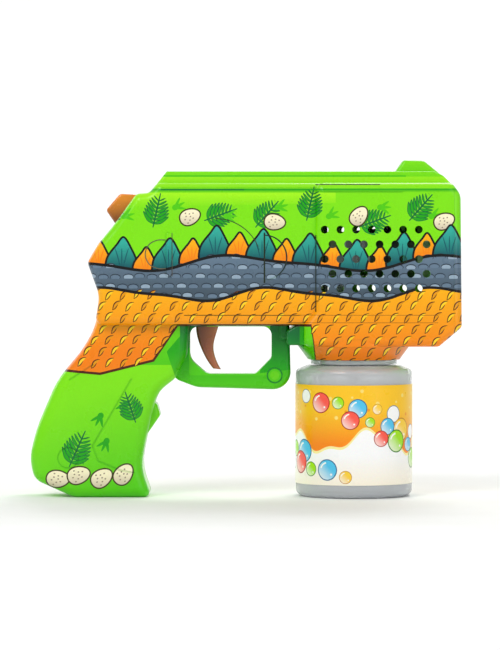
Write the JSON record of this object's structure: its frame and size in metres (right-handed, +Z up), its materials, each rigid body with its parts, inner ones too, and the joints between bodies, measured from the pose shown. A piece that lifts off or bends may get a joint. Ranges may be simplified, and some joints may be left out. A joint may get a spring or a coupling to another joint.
{
  "type": "bubble machine",
  "caption": "Toy bubble gun: two-part printed shell, round bubble mouth with a wiper, hooked trigger, motor fan, roller pump and a solution bottle under the muzzle.",
  "frame": {"origin": "on the surface it stands on, in the middle of its length and thickness", "axes": "+X forward to the muzzle, +Y to the side with the battery cover and the screws, +Z up"},
  "size_m": [0.1944, 0.0532, 0.1525],
  "materials": {
    "lime_plastic": "moulded, printed over",
    "green_plastic": "moulded",
    "brown_plastic": "moulded",
    "white_plastic": "moulded",
    "grey_plastic": "moulded",
    "nylon": "moulded",
    "milky_plastic": "blown, translucent",
    "label_film": "printed film",
    "clear_tube": "soft, translucent",
    "steel": "bright",
    "motor_steel": "plated",
    "brass": "bright",
    "rubber": "soft",
    "battery_skin": "plain sleeve",
    "wire_red": "insulated",
    "wire_black": "insulated"
  },
  "bodies": {
    "housing": {"right_shell": "lime_plastic", "left_shell": "lime_plastic", "muzzle_bezel": "green_plastic", "hammer": "brown_plastic", "body_screws": "steel", "air_nozzle": "white_plastic", "fan_housing": "grey_plastic", "motor_can": "motor_steel", "motor_end_cap": "white_plastic", "motor_terminals": "brass", "gearbox_frame": "grey_plastic", "gearbox_plate": "grey_plastic", "gearbox_screws": "steel", "compound_axle": "steel", "pump_body": "white_plastic", "pump_tube": "clear_tube", "bottle_socket": "green_plastic", "socket_gasket": "rubber", "dip_tube": "clear_tube", "drip_chute": "green_plastic", "trigger_pin": "steel", "trigger_spring": "steel", "switch_base": "grey_plastic", "switch_leaves": "brass", "battery_tray": "grey_plastic", "battery_bridge": "steel", "battery_contacts": "steel", "battery_1": "battery_skin", "battery_2": "battery_skin", "wire_red": "wire_red", "wire_black": "wire_black"},
    "trigger_and_wiper": {"trigger": "brown_plastic", "wiper_lever": "white_plastic", "wiper_blade": "rubber"},
    "fan_rotor": {"motor_shaft": "steel", "fan_impeller": "white_plastic", "motor_pinion": "brass"},
    "compound_wheel": {"compound_gear": "nylon"},
    "pump_wheel": {"pump_gear": "nylon", "pump_rotor": "nylon"},
    "roller_1": {"pump_roller_1": "white_plastic"},
    "roller_2": {"pump_roller_2": "white_plastic"},
    "roller_3": {"pump_roller_3": "white_plastic"},
    "bottle": {"bottle": "milky_plastic", "bottle_label": "label_film"},
    "battery_cover": {"battery_door": "lime_plastic", "door_screw": "steel"}
  },
  "joints": [
    {"name": "trigger_pull", "type": "hinge", "parent": "housing", "child": "trigger_and_wiper", "pos_m": [-0.016, 0, 0.11], "axis": [0, 1, 0], "range_deg": [0, 14], "stiffness_Nm_per_rad": 0.05, "springref_deg": -17.19, "deforming": ["trigger_spring", "switch_leaves"]},
    {"name": "fan_spin", "type": "hinge", "parent": "housing", "child": "fan_rotor", "pos_m": [0.07, 0, 0.11], "axis": [1, 0, 0], "continuous": true},
    {"name": "compound_spin", "type": "hinge", "parent": "housing", "child": "compound_wheel", "pos_m": [0.033, -0.00918, 0.10079], "axis": [1, 0, 0], "continuous": true},
    {"name": "pump_spin", "type": "hinge", "parent": "housing", "child": "pump_wheel", "pos_m": [0.019, 0.0018, 0.09382], "axis": [1, 0, 0], "continuous": true},
    {"name": "roller_1_spin", "type": "hinge", "parent": "pump_wheel", "child": "roller_1", "pos_m": [0.019, 0.0018, 0.09852], "axis": [1, 0, 0], "continuous": true},
    {"name": "roller_2_spin", "type": "hinge", "parent": "pump_wheel", "child": "roller_2", "pos_m": [0.019, -0.00227, 0.09147], "axis": [1, 0, 0], "continuous": true},
    {"name": "roller_3_spin", "type": "hinge", "parent": "pump_wheel", "child": "roller_3", "pos_m": [0.019, 0.00587, 0.09147], "axis": [1, 0, 0], "continuous": true},
    {"name": "bottle_out", "type": "slide", "parent": "housing", "child": "bottle", "axis": [0, 0, -1], "range_m": [0, 0.072]},
    {"name": "battery_cover_off", "type": "slide", "parent": "housing", "child": "battery_cover", "axis": [0, 1, 0], "range_m": [0, 0.015]}
  ],
  "couplings": [
    {"joint": "compound_spin", "follows": "fan_spin", "ratio": -0.3},
    {"joint": "pump_spin", "follows": "fan_spin", "ratio": 0.09},
    {"joint": "roller_1_spin", "follows": "fan_spin", "ratio": -0.3015},
    {"joint": "roller_2_spin", "follows": "fan_spin", "ratio": -0.3015},
    {"joint": "roller_3_spin", "follows": "fan_spin", "ratio": -0.3015}
  ]
}
